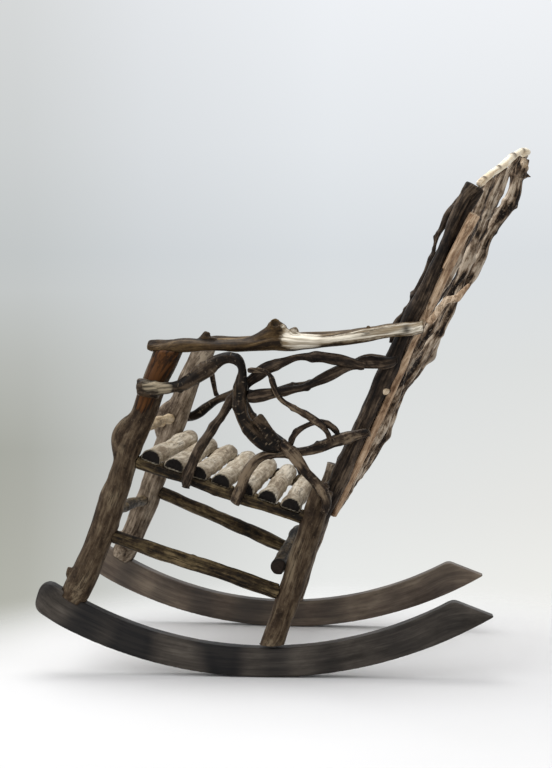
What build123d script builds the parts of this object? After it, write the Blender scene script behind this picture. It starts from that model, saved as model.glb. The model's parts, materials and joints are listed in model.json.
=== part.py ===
from build123d import *
import math
import os

# Rustic rocking chair: round branches and split slats on two sawn rockers.
# Rest frame: +Z up, -X the way the sitter faces, -Y the sitter's left hand.
# The seat frame is the same chair tipped forward until its seat is level.
# All sizes in millimetres and degrees; heights of the frame are in the seat frame.

# Joints
CLEARANCE = 0.2
BEDDING = 3.0
TENON_RADIUS = 8.5
TENON_DEPTH = 24.0
ARM_TENON = 14.0
FOOT_LAP = 10.0

# Legs and posts
REST_TILT = 18.5
FRONT_SPAN = 528.0
REAR_SPAN = 508.0
SEAT_DEPTH = 396.0
REAR_LEG_X = -3.0
FRONT_LEG_RADIUS = 25.0
REAR_LEG_RADIUS = 23.5
POST_RADIUS = 17.0
POST_LEAN = 5.5
POST_X_AT_SEAT = 8.0
POST_TOP = 1052.0
POST_STEP = 40.0

# Rockers
ROCKER_RADIUS = 886.0
ROCKER_TOP_RADIUS = 772.0
ROCKER_DEPTH = 58.0
ROCKER_FRONT = 462.0
ROCKER_BROW = 440.0
ROCKER_REAR = 455.0
ROCKER_SHOULDER = 376.0
ROCKER_CORNER = 22.0
ROCKER_THICKNESS = 36.0
ROCKER_EDGE = 3.0

# Seat
RAIL_Z = 326.0
RAIL_RADIUS = 14.5
SLAT_COUNT = 7
SLAT_WIDTH = 41.0
SLAT_HEIGHT = 27.0
SLAT_HOUSING = 9.0
SLAT_GAP = 7.0
SLAT_SETBACK = 8.0
FRONT_RAIL_LIFT = 46.0
FRONT_RAIL_RADIUS = 11.0
REAR_RAIL_LIFT = 36.0
REAR_RAIL_RADIUS = 12.0
REAR_RAIL_INSET = 6.0
REAR_LEG_RISE = 66.0
POST_DROP = 76.0

# Stretchers
STRETCHER_RADIUS = 15.0
SIDE_STRETCHER_Z = 167.0
FRONT_STRETCHER_RADIUS = 11.5
STRETCHER_STEP = 33.0
REAR_STRETCHER_LIFT = 50.0

# Arms, in the rest frame
ARM_UNDERSIDE = 644.0
ARM_HALF_WIDTH = 25.0
ARM_HALF_HEIGHT = 16.0
ARM_FRONT_REACH = 45.0
ARM_REAR_REACH = 40.0
ARM_STUMP_SHARE = 0.35
ARM_STUMP_RISE = (73.0, 44.0)
ARM_STUMP_SAG = 11.0
ARM_STUMP_BORE = 6.0
ARM_KNOB_SHARE = 0.23
ARM_KNOB_RISE = 21.0

# Back
APEX_Z = 1169.0
APEX_SETBACK = 79.0
CREST_RADIUS = 7.2
CREST_RISE = 3.0
CREST_SETBACK = 14.0
STILE_RADIUS = 10.0
STILE_DROP = 52.0
BACK_BRANCHES = 3
BACK_BRANCH_RADIUS = 9.6
BACK_SWAY = 11.0
BACK_BELLY = 14.0
BACK_FOOT_DROP = 22.0
KING_Y = -8.0
KING_RADIUS = 13.0
KING_STUB_SHARE = 0.965
KING_STUB_REACH = 20.0
VINE_RADIUS = 6.5

# Arm panels
BOW_RADIUS = 12.8
BOUGH_RADIUS = 9.6
CREEPER_RADIUS = 10.4
TWIG_RADIUS = 6.3
PANEL_SWELL = 0.09

# Natural bends and swellings, as shares of a length and offsets from it
KNOT_RADII = (17.0, 13.0, 10.0)
KNOT_Z = 72.0
KNOT_REACH = 38.0
ARM_STUMP_RADII = (16.0, 18.5, 12.5)
BURL_RADII = (13.0, 23.0, 26.0, 23.0, 13.0)
BURL_Z = 362.0
BURL_REACH = 48.0
BURL_OFFSET = 13.0
LEG_LEAN = 21.0
LEG_SWELL = (1.08, 1.08, 1.06, 1.03, 1.0, 1.02, 1.02, 1.02, 1.03)
POST_SWAY = {
    -1: ((0, 0), (0.5, 1), (1, 0)),
    1: ((0, 0), (0.4, -2), (0.6, 0), (0.72, 1), (0.85, 6), (0.94, 2), (1, 0)),
}
POST_SWELL = (0.96, 1.0, 1.0, 1.0, 0.98, 0.95, 0.9)
ARM_LIFT = ((0, 8), (0.2, 8), (0.33, 10), (0.46, 17), (0.65, 21), (0.85, 38), (1, 48))
ARM_SWELL = (0.84, 1.0, 0.97, 0.95, 0.98, 0.95, 0.9, 0.87, 0.83, 0.8)
CREST_LIFT = ((0, 0), (0.25, 6), (0.5, 10), (0.68, 15), (0.84, 10), (1, 0))
KING_SWAY = (
    (0, 0), (0.06, 8), (0.12, 14), (0.2, 19), (0.28, 10), (0.35, 7), (0.43, 16), (0.5, 9),
    (0.57, 8), (0.68, 20), (0.77, 11), (0.85, 20), (0.92, 14), (0.96, 7), (0.99, 0),
)
VINE_BENDS = (
    (0.53, 20, 0), (0.57, 25, 2), (0.615, 21, 5), (0.65, 14.5, 14), (0.69, 12, 17), (0.74, 11, 17),
    (0.77, 14, 14), (0.81, 20, 6), (0.84, 20.5, 0), (0.88, 20, 0), (0.92, 18, 1), (0.955, 13, 6),
)
KING_SWELL = (0.9, 0.96, 1.06, 0.92, 1.02, 0.92, 1.06, 0.96, 1.06, 0.98, 1.08, 1.1, 1.1)

NAMES = {-1: "left", 1: "right"}
tilt = math.radians(REST_TILT)
seat_frame = Plane(
    origin=(0, 0, 0),
    x_dir=(math.cos(tilt), 0, -math.sin(tilt)),
    z_dir=(math.sin(tilt), 0, math.cos(tilt)),
)
front_leg_x = REAR_LEG_X - SEAT_DEPTH
post_y = REAR_SPAN / 2 - REAR_LEG_RADIUS - POST_RADIUS + BEDDING
post_top = {-1: POST_TOP, 1: POST_TOP + POST_STEP}
slat_floor = RAIL_Z + RAIL_RADIUS - SLAT_HOUSING
front_rail_z = RAIL_Z + FRONT_RAIL_LIFT
rear_rail_z = RAIL_Z + REAR_RAIL_LIFT
back_foot_z = rear_rail_z - BACK_FOOT_DROP
on_leg = FRONT_LEG_RADIUS + BOW_RADIUS - BEDDING
on_rail = RAIL_RADIUS + CREEPER_RADIUS - BEDDING
on_post = post_y + POST_RADIUS - REAR_SPAN / 2 + BOUGH_RADIUS - BEDDING
solids = {}


def mix(a, b, share):
    """Go a share of the way from one value to another."""
    return a + (b - a) * share


def seat_point(x, y, z):
    """Turn seat frame coordinates into a point of the rest frame."""
    return seat_frame.from_local_coords(Vector(x, y, z))


def half_span(x):
    """Half the distance between the two side frames at a seat frame x."""
    return mix(FRONT_SPAN, REAR_SPAN, (x - front_leg_x) / SEAT_DEPTH) / 2


def post_x(z):
    """Seat frame x of a post's axis at a seat frame height."""
    return POST_X_AT_SEAT + (z - RAIL_Z) * math.tan(math.radians(POST_LEAN))


def arc_height(x, radius):
    """Height of a circular arc above its lowest point."""
    return radius - math.sqrt(radius**2 - x**2)


def arm_height(x):
    """Seat frame height of the arm's level underside above a seat frame x."""
    return (ARM_UNDERSIDE + x * math.sin(tilt)) / math.cos(tilt)


def foot_height(x):
    """Seat frame height where a leg at this seat frame x meets its rocker's top edge."""
    height = 0.0
    for _ in range(12):
        point = seat_point(x, 0, height)
        height += ROCKER_DEPTH + arc_height(point.X, ROCKER_TOP_RADIUS) - point.Z
    return height


rear_rail_x = post_x(rear_rail_z) - REAR_RAIL_INSET
back_foot_x = rear_rail_x + REAR_RAIL_RADIUS + BACK_BRANCH_RADIUS - BEDDING
apex_x = post_x(APEX_Z) + APEX_SETBACK


def stick(points, radii, guide=(0, 1, 0), flatness=1.0, seam=0.0):
    """Loft a natural stick through round or flattened sections along a smooth line.

    The guide sets the wide way of a flattened section, and the seam turns a round
    one so that its seam stays clear of the joints.
    """
    line = Spline(*points)
    guide = Vector(guide)
    sections = []
    for index, radius in enumerate(radii):
        place = index / (len(radii) - 1)
        along = line % place
        across = guide - along * along.dot(guide)
        plane = Plane(origin=line @ place, x_dir=across, z_dir=along)
        sections.append(plane * Rot(0, 0, seam) * Ellipse(radius, radius * flatness))
    return loft(sections)


def swollen(radius, factors):
    """Scale one radius by the swellings along a stick."""
    return [radius * factor for factor in factors]


def stump(root, tip, radii, sag=0.0):
    """Make the short stump of a cut side branch."""
    return stick([root, (root + tip) / 2 - Vector(0, 0, sag), tip], radii)


def peg(start, end, radius):
    """Make a straight round peg or bore between two points."""
    along = end - start
    return extrude(Plane(origin=start, z_dir=along) * Circle(radius), along.length)


def largest(shape):
    """Keep the main body of a cut piece."""
    return shape.solids().sort_by(SortBy.VOLUME)[-1]


def cope(piece, *carriers):
    """Shape a piece to sit against the pieces that carry it."""
    for carrier in carriers:
        piece = largest(piece - solids[carrier])
    return piece


def tenoned(points, radii, carriers, guide):
    """Fit a rail between two carriers with a round tenon at each end."""
    rail = cope(stick(points, radii, guide), *carriers)
    ends = ((points[0], points[1]), (points[-1], points[-2]))
    for carrier, (end, inner) in zip(carriers, ends):
        inward = (inner - end).normalized()
        deep = end - inward * (TENON_DEPTH - FRONT_LEG_RADIUS)
        root = end + inward * (FRONT_LEG_RADIUS + 4 * BEDDING)
        solids[carrier] = largest(solids[carrier] - peg(deep, root, TENON_RADIUS + CLEARANCE))
        rail = rail + peg(deep + inward * CLEARANCE, root, TENON_RADIUS)
    return largest(rail)


def rocker(side):
    """Saw one rocker from a plank: round nose, sniped tip, splayed with its side frame."""
    heel = (-ROCKER_FRONT, arc_height(ROCKER_FRONT, ROCKER_RADIUS))
    tip = (ROCKER_REAR, arc_height(ROCKER_REAR, ROCKER_RADIUS))
    shoulder = (ROCKER_SHOULDER, ROCKER_DEPTH + arc_height(ROCKER_SHOULDER, ROCKER_TOP_RADIUS))
    brow = (-ROCKER_BROW, ROCKER_DEPTH + arc_height(ROCKER_BROW, ROCKER_TOP_RADIUS))
    sole = ThreePointArc(heel, (0, 0), tip)
    saddle = ThreePointArc(shoulder, (0, ROCKER_DEPTH), brow)
    outline = make_face([sole, Line(tip, shoulder), saddle, Line(brow, heel)])
    outline = fillet(outline.vertices().sort_by(Axis.X)[:3], ROCKER_CORNER)
    rear_x = seat_point(REAR_LEG_X, 0, ROCKER_DEPTH).X
    front_x = seat_point(front_leg_x, 0, ROCKER_DEPTH).X
    splay = math.atan2((FRONT_SPAN - REAR_SPAN) / 2, rear_x - front_x)
    plane = Plane(
        origin=(rear_x, side * REAR_SPAN / 2, 0),
        x_dir=(math.cos(splay), -side * math.sin(splay), 0),
        z_dir=(-side * math.sin(splay), -math.cos(splay), 0),
    )
    plank = extrude(plane * Pos(-rear_x, 0) * outline, ROCKER_THICKNESS / 2, both=True)
    cheeks = plank.faces().filter_by(GeomType.PLANE).sort_by(SortBy.AREA)[-2:]
    return fillet(cheeks[0].edges() + cheeks[1].edges(), ROCKER_EDGE)


def front_leg(side):
    """Make a front leg: burled, slotted over its rocker, level under the arm."""
    y = side * FRONT_SPAN / 2
    foot = foot_height(front_leg_x - 11)
    top = arm_height(front_leg_x + LEG_LEAN)
    bends = (
        (-12, foot - FOOT_LAP),
        (4, mix(foot, RAIL_Z, 0.5)),
        (5, RAIL_Z),
        (12, mix(RAIL_Z, top, 0.65)),
        (LEG_LEAN + 2, top + 30),
    )
    points = [seat_point(front_leg_x + shift, y, z) for shift, z in bends]
    leg = stick(points, swollen(FRONT_LEG_RADIUS, LEG_SWELL))
    root = seat_point(front_leg_x - 4, y, KNOT_Z)
    leg = leg + stump(root, seat_point(front_leg_x - KNOT_REACH, y, KNOT_Z - BEDDING), KNOT_RADII)
    low, high = (seat_point(front_leg_x, y, BURL_Z + reach) for reach in (-BURL_REACH, BURL_REACH))
    leg = leg + stick([low, seat_point(front_leg_x - BURL_OFFSET, y, BURL_Z), high], BURL_RADII)
    waste = Box(SEAT_DEPTH, SEAT_DEPTH, SEAT_DEPTH, align=(Align.CENTER, Align.CENTER, Align.MIN))
    leg = leg - Pos(points[-1].X, y, ARM_UNDERSIDE) * waste
    return cope(largest(leg), f"rocker_{NAMES[side]}")


def rear_leg(side):
    """Make a rear leg: a short straight log slotted over its rocker."""
    top = RAIL_Z + REAR_LEG_RISE
    foot = foot_height(REAR_LEG_X + 2)
    bends = ((2, foot - FOOT_LAP), (-1, mix(foot, top, 0.5)), (-2, top))
    points = [seat_point(REAR_LEG_X + shift, side * REAR_SPAN / 2, z) for shift, z in bends]
    leg = stick(points, swollen(REAR_LEG_RADIUS, (1.0, 1.0, 1.02, 0.99, 0.94)))
    return cope(leg, f"rocker_{NAMES[side]}")


def back_post(side):
    """Make a back post; it runs down the inside of the rear leg."""
    points = []
    for share, sway in POST_SWAY[side]:
        z = mix(RAIL_Z - POST_DROP, post_top[side], share)
        points.append(seat_point(post_x(z) + sway, side * post_y, z))
    post = stick(points, swollen(POST_RADIUS, POST_SWELL), (0, -side, 0))
    return cope(post, f"rear_leg_{NAMES[side]}")


def arm(side):
    """Make an arm: a split branch, flat below; the left one keeps a knob and a bored stump."""
    leg_x = front_leg_x + LEG_LEAN
    front = seat_point(leg_x, 0, arm_height(leg_x)).X - ARM_FRONT_REACH
    rear_z = arm_height(POST_X_AT_SEAT) + ARM_LIFT[-1][1]
    rear = seat_point(post_x(rear_z), 0, rear_z).X + ARM_REAR_REACH
    rear_y = post_y + POST_RADIUS + ARM_SWELL[-1] * ARM_HALF_WIDTH - 2 * BEDDING
    points = []
    for share, lift in ARM_LIFT:
        y = side * mix(FRONT_SPAN / 2, rear_y, share)
        points.append(Vector(mix(front, rear, share), y, ARM_UNDERSIDE + lift))
    radii = swollen(ARM_HALF_WIDTH, ARM_SWELL)
    body = stick(points, radii, (0, side, 0), ARM_HALF_HEIGHT / ARM_HALF_WIDTH)
    if side < 0:
        line = Spline(*points)
        root = line @ ARM_KNOB_SHARE
        body = body + stump(root, root + Vector(BEDDING, 0, ARM_KNOB_RISE), KNOT_RADII)
        root = line @ ARM_STUMP_SHARE
        rise = Vector(ARM_STUMP_RISE[0], 0, ARM_STUMP_RISE[1])
        body = body + stump(root, root + rise, ARM_STUMP_RADII, ARM_STUMP_SAG)
        body = body - peg(root + rise * 0.8, root + rise * 1.1, ARM_STUMP_BORE)
    waste = Box(2 * (rear - front), SEAT_DEPTH, SEAT_DEPTH, align=(Align.CENTER, Align.CENTER, Align.MAX))
    body = largest(body - Pos(points[2].X, points[2].Y, ARM_UNDERSIDE) * waste)
    return cope(body, f"back_post_{NAMES[side]}")


def pin_arm(side):
    """Tenon the top of a front leg into the underside of its arm."""
    leg_name = f"front_leg_{NAMES[side]}"
    arm_name = f"arm_{NAMES[side]}"
    x = front_leg_x + LEG_LEAN
    top = seat_point(x, side * FRONT_SPAN / 2, arm_height(x))
    low = top - Vector(0, 0, 2 * BEDDING)
    high = top + Vector(0, 0, ARM_TENON)
    solids[arm_name] = largest(solids[arm_name] - peg(low, high, TENON_RADIUS + CLEARANCE))
    solids[leg_name] = largest(solids[leg_name] + peg(low, high - Vector(0, 0, CLEARANCE), TENON_RADIUS))


def side_rail(side, front_z, rear_z, radii):
    """Tenon one lengthwise rail between the legs of a side."""
    points = []
    for share in (0, 0.5, 1):
        x = mix(front_leg_x, REAR_LEG_X, share)
        points.append(seat_point(x, side * half_span(x), mix(front_z, rear_z, share)))
    carriers = (f"front_leg_{NAMES[side]}", f"rear_leg_{NAMES[side]}")
    return tenoned(points, radii, carriers, (0, 1, 0))


def cross_rail(half, x, heights, radii, carrier):
    """Tenon one crosswise rail between a left and a right carrier."""
    points = [seat_point(x, y, z) for y, z in zip((-half, 0, half), heights)]
    return tenoned(points, radii, (f"{carrier}_left", f"{carrier}_right"), (0, 0, 1))


def slat_x(index):
    """Seat frame x of one slat's middle."""
    first = front_leg_x + FRONT_LEG_RADIUS + SLAT_GAP + SLAT_WIDTH / 2
    last = REAR_LEG_X - REAR_LEG_RADIUS - SLAT_GAP - SLAT_WIDTH / 2
    return mix(first, last, index / (SLAT_COUNT - 1))


def slat(index):
    """Split one seat slat from a log: flat below, round above."""
    x = slat_x(index)
    reach = half_span(x) + RAIL_RADIUS - SLAT_SETBACK
    sections = []
    for share in (-1, -0.4, 0.4, 1):
        swell = 0.96 if abs(share) == 1 else 0.94 + 0.05 * math.sin(2.3 * index + 2.1 * share)
        half = SLAT_WIDTH / 2 * swell
        start = seat_point(x, share * reach, slat_floor)
        crown = ThreePointArc((-half, 0), (0, SLAT_HEIGHT * swell), (half, 0))
        section = make_face([crown, Line((half, 0), (-half, 0))])
        sections.append(Plane(origin=start, x_dir=seat_frame.x_dir, z_dir=(0, -1, 0)) * section)
    return loft(sections)


def house_slats(rail, side):
    """Cut the housings that take the slat ends into one seat rail."""
    width = SLAT_WIDTH + 2 * CLEARANCE
    housings = []
    for index in range(SLAT_COUNT):
        x = slat_x(index)
        middle = seat_point(x, side * half_span(x), slat_floor + SLAT_HEIGHT)
        housings.append(Pos(middle) * Rot(0, REST_TILT, 0) * Box(width, 4 * RAIL_RADIUS, 2 * SLAT_HEIGHT))
    return largest(rail - housings)


def lapped_stretcher():
    """Lap the rear stretcher across the front faces of the rear legs."""
    x = REAR_LEG_X - REAR_LEG_RADIUS - STRETCHER_RADIUS + BEDDING
    z = SIDE_STRETCHER_Z + REAR_STRETCHER_LIFT
    reach = REAR_SPAN / 2 + FOOT_LAP
    points = [seat_point(x, y, z) for y in (-reach, 0, reach)]
    bar = stick(points, swollen(STRETCHER_RADIUS, (1.05, 1, 1, 1.05)), (0, 0, 1))
    return cope(bar, "rear_leg_left", "rear_leg_right")


def crest_points(side):
    """Route one half of the crest from the rear edge of a post top to the apex."""
    z = post_top[side] + CREST_RISE
    start = Vector(post_x(z) + CREST_SETBACK, post_y, z)
    finish = Vector(apex_x, CLEARANCE, APEX_Z)
    points = []
    for share, lift in CREST_LIFT:
        place = start + (finish - start) * share
        points.append(seat_point(place.X, side * place.Y, place.Z + lift))
    return points


def crest(side):
    """Make one peeled half of the crest, bedded on its post."""
    half = stick(crest_points(side), swollen(CREST_RADIUS, (1.1, 1, 1.05, 0.95, 1)))
    return cope(half, f"back_post_{NAMES[side]}")


def back_stile(side):
    """Make the straight peeled stick behind a back post."""
    top = post_top[-1] - STILE_DROP
    gap = POST_RADIUS + STILE_RADIUS - BEDDING
    high = seat_point(post_x(top) + gap, side * (post_y - 2), top)
    low = seat_point(back_foot_x, side * (post_y - 13), back_foot_z)
    stile = stick([low, (low + high) / 2, high], swollen(STILE_RADIUS, (1, 1.1, 1, 0.95)))
    return cope(stile, f"back_post_{NAMES[side]}", "rear_seat_rail")


def back_king():
    """Make the thick middle branch that carries the apex of the crest, with a sawn side stub."""
    points = []
    for share, sway in KING_SWAY:
        x = mix(back_foot_x, apex_x, share) + sway
        points.append(seat_point(x, KING_Y, mix(back_foot_z, APEX_Z, share)))
    king = stick(points, swollen(KING_RADIUS, KING_SWELL))
    root = Spline(*points) @ KING_STUB_SHARE
    king = king + stump(root, root - Vector(0, KING_STUB_REACH, 0), swollen(KING_RADIUS, (1, 0.9, 0.85)))
    return cope(king, "rear_seat_rail", "crest_left", "crest_right")


def back_branch(side, index):
    """Grow one sinuous back branch from the rear rail up to the crest."""
    share = (index + 0.9) / (BACK_BRANCHES + 0.8)
    top = Spline(*crest_points(side)) @ share - Vector(0, 0, CREST_RADIUS / 2)
    head = seat_frame.to_local_coords(top)
    foot_y = side * mix(post_y - 40, 40, index / (BACK_BRANCHES - 1))
    phase = 1.7 * index + 0.45 * (1 + side)
    points = []
    for step in range(9):
        rise = step / 8
        fade = math.sin(math.pi * rise)
        bend = fade * (BACK_BELLY + BACK_SWAY * math.sin(2.6 * math.pi * rise + phase))
        wander = fade * BACK_SWAY * math.cos(2.1 * math.pi * rise + 2 * phase)
        x = mix(back_foot_x, head.X, rise) + bend
        y = mix(foot_y, head.Y, rise) + wander
        points.append(seat_point(x, y, mix(back_foot_z, head.Z, rise)))
    swell = [1.12 - 0.03 * k + 0.07 * math.sin(2.2 * k + phase) for k in range(10)]
    branch = stick(points, swollen(BACK_BRANCH_RADIUS, swell))
    beside = {0: [f"back_stile_{NAMES[side]}"], BACK_BRANCHES - 1: ["back_king"]}
    return cope(branch, "rear_seat_rail", f"crest_{NAMES[side]}", *beside.get(index, []))


def back_vine(side):
    """Wind a thin branch around the front and the inside of a back post."""
    points = []
    for share, ahead, inward in VINE_BENDS:
        z = mix(RAIL_Z - POST_DROP, post_top[side], share)
        points.append(seat_point(post_x(z) - ahead, side * (post_y - inward), z))
    radii = [VINE_RADIUS * (1 + PANEL_SWELL * math.sin(1.9 * k)) for k in range(len(points))]
    return cope(stick(points, radii, (0, -side, 0)), f"back_post_{NAMES[side]}", f"arm_{NAMES[side]}")


def panel_branch(side, places, radius, seam, carriers):
    """Bend one branch through an arm panel and cope it to its carriers.

    Each place is a share along the seat, a share up to the arm, and how far
    outside the leg axes the branch runs there.
    """
    points = []
    for along, up, out in places:
        z = mix(RAIL_Z, arm_height(mix(front_leg_x, REAR_LEG_X, along)), up)
        x = mix(front_leg_x, post_x(z), along)
        points.append(seat_point(x, side * (half_span(x) + out), z))
    radii = [radius * (1 + PANEL_SWELL * math.sin(2.4 * k)) for k in range(len(points))]
    names = [f"{carrier}_{NAMES[side]}" for carrier in carriers]
    return cope(stick(points, radii, seam=seam), *names)


def left_panel():
    """Weave the branches under the left arm."""
    bow = (
        (-0.03, 0.655, on_leg), (0.06, 0.68, on_leg), (0.15, 0.72, 31), (0.27, 0.925, 30),
        (0.32, 0.965, 30), (0.39, 0.92, 31), (0.41, 0.83, 32), (0.43, 0.7, 32), (0.455, 0.6, 31),
        (0.5, 0.5, 30), (0.56, 0.425, 28), (0.62, 0.39, 26), (0.69, 0.395, 26),
    )
    bough = (
        (0.44, 0.69, 29), (0.525, 0.718, 24), (0.632, 0.771, 18), (0.742, 0.847, 8),
        (0.822, 0.93, 0), (0.93, 0.975, -8), (1.02, 1.0, on_post),
    )
    riser = (
        (0.34, -0.066, on_rail), (0.335, 0.0, on_rail), (0.35, 0.344, 19), (0.372, 0.469, 16),
        (0.403, 0.641, 12), (0.432, 0.776, 10), (0.47, 0.87, 13), (0.56, 0.955, 15), (0.649, 0.99, 14),
        (0.735, 0.99, 12), (0.83, 0.97, 8), (0.9, 0.955, 4),
    )
    creeper = (
        (0.593, -0.055, on_rail), (0.592, 0.08, on_rail), (0.595, 0.226, 21), (0.625, 0.308, 20),
        (0.68, 0.345, 19), (0.818, 0.398, 14), (0.881, 0.447, 8), (0.959, 0.505, -7), (1.045, 0.56, on_post),
    )
    stay = (
        (0.66, 0.393, 26), (0.74, 0.365, 28), (0.81, 0.304, 31), (0.885, 0.246, 33),
        (0.948, 0.2, on_leg), (1.0, 0.07, on_leg),
    )
    twig = (
        (0.4, 0.873, 34), (0.477, 0.887, 34), (0.53, 0.849, 36), (0.571, 0.769, 37), (0.607, 0.711, 36),
        (0.708, 0.634, 30), (0.804, 0.582, 22), (0.864, 0.532, 16), (0.9, 0.46, 8),
    )
    arch = (
        (0.73, 0.4, 20), (0.735, 0.505, 16), (0.77, 0.554, 11), (0.82, 0.573, 8),
        (0.886, 0.55, 4), (0.93, 0.49, 1),
    )
    weave = (
        ("bow", bow, BOW_RADIUS, 90, ("front_leg",)),
        ("bough", bough, BOUGH_RADIUS, 90, ("panel_bow", "back_post", "arm")),
        ("riser", riser, BOUGH_RADIUS, 90, ("seat_rail", "panel_bow", "arm", "panel_bough")),
        ("creeper", creeper, CREEPER_RADIUS, 90, ("seat_rail", "panel_bow", "back_post")),
        ("stay", stay, CREEPER_RADIUS, 90, ("rear_leg", "panel_bow", "panel_creeper")),
        ("twig", twig, TWIG_RADIUS, 180, ("panel_bow", "panel_bough", "panel_creeper")),
        ("arch", arch, TWIG_RADIUS, 90, ("panel_creeper", "panel_stay", "panel_twig")),
    )
    for name, places, radius, seam, carriers in weave:
        solids[f"panel_{name}_left"] = panel_branch(-1, places, radius, seam, carriers)


def right_panel():
    """Weave the branches under the right arm."""
    bough = (
        (-0.02, 0.12, on_leg), (0.1, 0.263, 30), (0.221, 0.504, 26), (0.297, 0.565, 24), (0.426, 0.598, 20),
        (0.554, 0.67, 14), (0.687, 0.767, 6), (0.785, 0.875, 0), (0.89, 0.945, -7), (1.02, 0.99, on_post),
    )
    creeper = (
        (0.325, 0.56, 25), (0.36, 0.48, 24), (0.416, 0.378, 23), (0.565, 0.264, on_rail),
        (0.767, 0.107, on_rail), (0.84, -0.06, on_rail),
    )
    twig = ((0.05, 0.985, 10), (0.1, 0.8, 22), (0.151, 0.605, 28), (0.2, 0.48, 30))
    weave = (
        ("bough", bough, BOUGH_RADIUS, 90, ("front_leg", "back_post", "arm")),
        ("creeper", creeper, CREEPER_RADIUS, 90, ("panel_bough", "seat_rail")),
        ("twig", twig, TWIG_RADIUS, 90, ("arm", "panel_bough", "front_leg")),
    )
    for name, places, radius, seam, carriers in weave:
        solids[f"panel_{name}_right"] = panel_branch(1, places, radius, seam, carriers)


# Side frames and arms
for side, name in NAMES.items():
    solids[f"rocker_{name}"] = rocker(side)
    solids[f"front_leg_{name}"] = front_leg(side)
    solids[f"rear_leg_{name}"] = rear_leg(side)
    solids[f"back_post_{name}"] = back_post(side)
    solids[f"arm_{name}"] = arm(side)
    pin_arm(side)
    rail = side_rail(side, RAIL_Z, RAIL_Z, [RAIL_RADIUS] * 4)
    solids[f"seat_rail_{name}"] = house_slats(rail, side)
    front_z = SIDE_STRETCHER_Z + max(0, side) * STRETCHER_STEP
    radii = swollen(STRETCHER_RADIUS, (0.95, 0.98, 1.06, 1.04))
    solids[f"side_stretcher_{name}"] = side_rail(side, front_z, SIDE_STRETCHER_Z + 3, radii)

# Cross rails, stretchers and seat
line = (front_rail_z, front_rail_z + 4, front_rail_z - 2)
radii = swollen(FRONT_RAIL_RADIUS, (1, 1.05, 1, 0.96))
solids["front_seat_rail"] = cross_rail(FRONT_SPAN / 2, front_leg_x, line, radii, "front_leg")
line = (SIDE_STRETCHER_Z + STRETCHER_STEP, SIDE_STRETCHER_Z + STRETCHER_STEP / 1.5, SIDE_STRETCHER_Z)
radii = swollen(FRONT_STRETCHER_RADIUS, (1.04, 0.96, 1.08, 0.96, 0.96))
solids["front_stretcher"] = cross_rail(FRONT_SPAN / 2, front_leg_x, line, radii, "front_leg")
line = [rear_rail_z] * 3
radii = [REAR_RAIL_RADIUS] * 4
solids["rear_seat_rail"] = cross_rail(post_y, rear_rail_x, line, radii, "back_post")
solids["rear_stretcher"] = lapped_stretcher()
for index in range(SLAT_COUNT):
    solids[f"seat_slat_{index + 1}"] = slat(index)

# Back
for side, name in NAMES.items():
    solids[f"crest_{name}"] = crest(side)
    solids[f"back_stile_{name}"] = back_stile(side)
solids["crest_right"] = cope(solids["crest_right"], "crest_left")
solids["back_king"] = back_king()
for side, name in NAMES.items():
    for index in range(BACK_BRANCHES):
        solids[f"back_branch_{name}_{index + 1}"] = back_branch(side, index)
solids["back_vine_right"] = back_vine(1)

# Arm panels
left_panel()
right_panel()

# Stand the chair on the middle of its footprint
boxes = [solid.bounding_box() for solid in solids.values()]
middle_x = (min(box.min.X for box in boxes) + max(box.max.X for box in boxes)) / 2
middle_y = (min(box.min.Y for box in boxes) + max(box.max.Y for box in boxes)) / 2
stand = Location((-middle_x, -middle_y, -min(box.min.Z for box in boxes)))
os.makedirs("parts", exist_ok=True)
for name, solid in solids.items():
    export_step(solid.moved(stand), f"parts/{name}.step")
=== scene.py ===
import json
import math
import random
from collections import namedtuple

import bmesh
import bpy
import numpy as np
from mathutils import Matrix, Vector, noise


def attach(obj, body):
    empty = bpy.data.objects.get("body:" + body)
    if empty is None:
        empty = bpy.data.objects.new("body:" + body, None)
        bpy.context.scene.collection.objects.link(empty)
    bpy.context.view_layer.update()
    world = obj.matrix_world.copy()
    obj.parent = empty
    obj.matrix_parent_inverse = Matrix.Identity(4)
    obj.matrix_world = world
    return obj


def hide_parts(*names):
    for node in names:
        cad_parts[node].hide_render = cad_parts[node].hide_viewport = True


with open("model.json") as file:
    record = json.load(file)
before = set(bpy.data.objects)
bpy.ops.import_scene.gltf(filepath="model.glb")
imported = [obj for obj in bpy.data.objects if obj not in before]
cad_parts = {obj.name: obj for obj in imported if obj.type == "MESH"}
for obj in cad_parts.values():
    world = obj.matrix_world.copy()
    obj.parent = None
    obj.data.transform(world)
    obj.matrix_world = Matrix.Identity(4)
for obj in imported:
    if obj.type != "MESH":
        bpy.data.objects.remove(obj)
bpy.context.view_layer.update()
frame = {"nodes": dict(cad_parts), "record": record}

# Every stick of the chair is skinned afresh over its solid: a fine even mesh,
# a centre line for the grain to follow, then bends, ridges, knots and cracks.
# Lengths are in metres unless a table says millimetres, colours in 0 to 255 sRGB.

MM = 0.001
BODY = "root"
scene = bpy.context.scene

# Camera and lamps: a lamp's place, the point it looks at, its width and its power.
CAMERA_PLACE = (0.2571, -3.307, 0.714)
CAMERA_TURN = (87.5, 0.0, 5.09)
LENS = 73.1
LAMPS = {
    "key": ((-0.3, 0.3, 3.0), (0, 0, 0.4), 2.0, 58),
    "fill": ((-2.4, -2.2, 2.0), (0, 0, 0.6), 2.4, 40),
}
WORLD_LIGHT = 0.7

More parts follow.
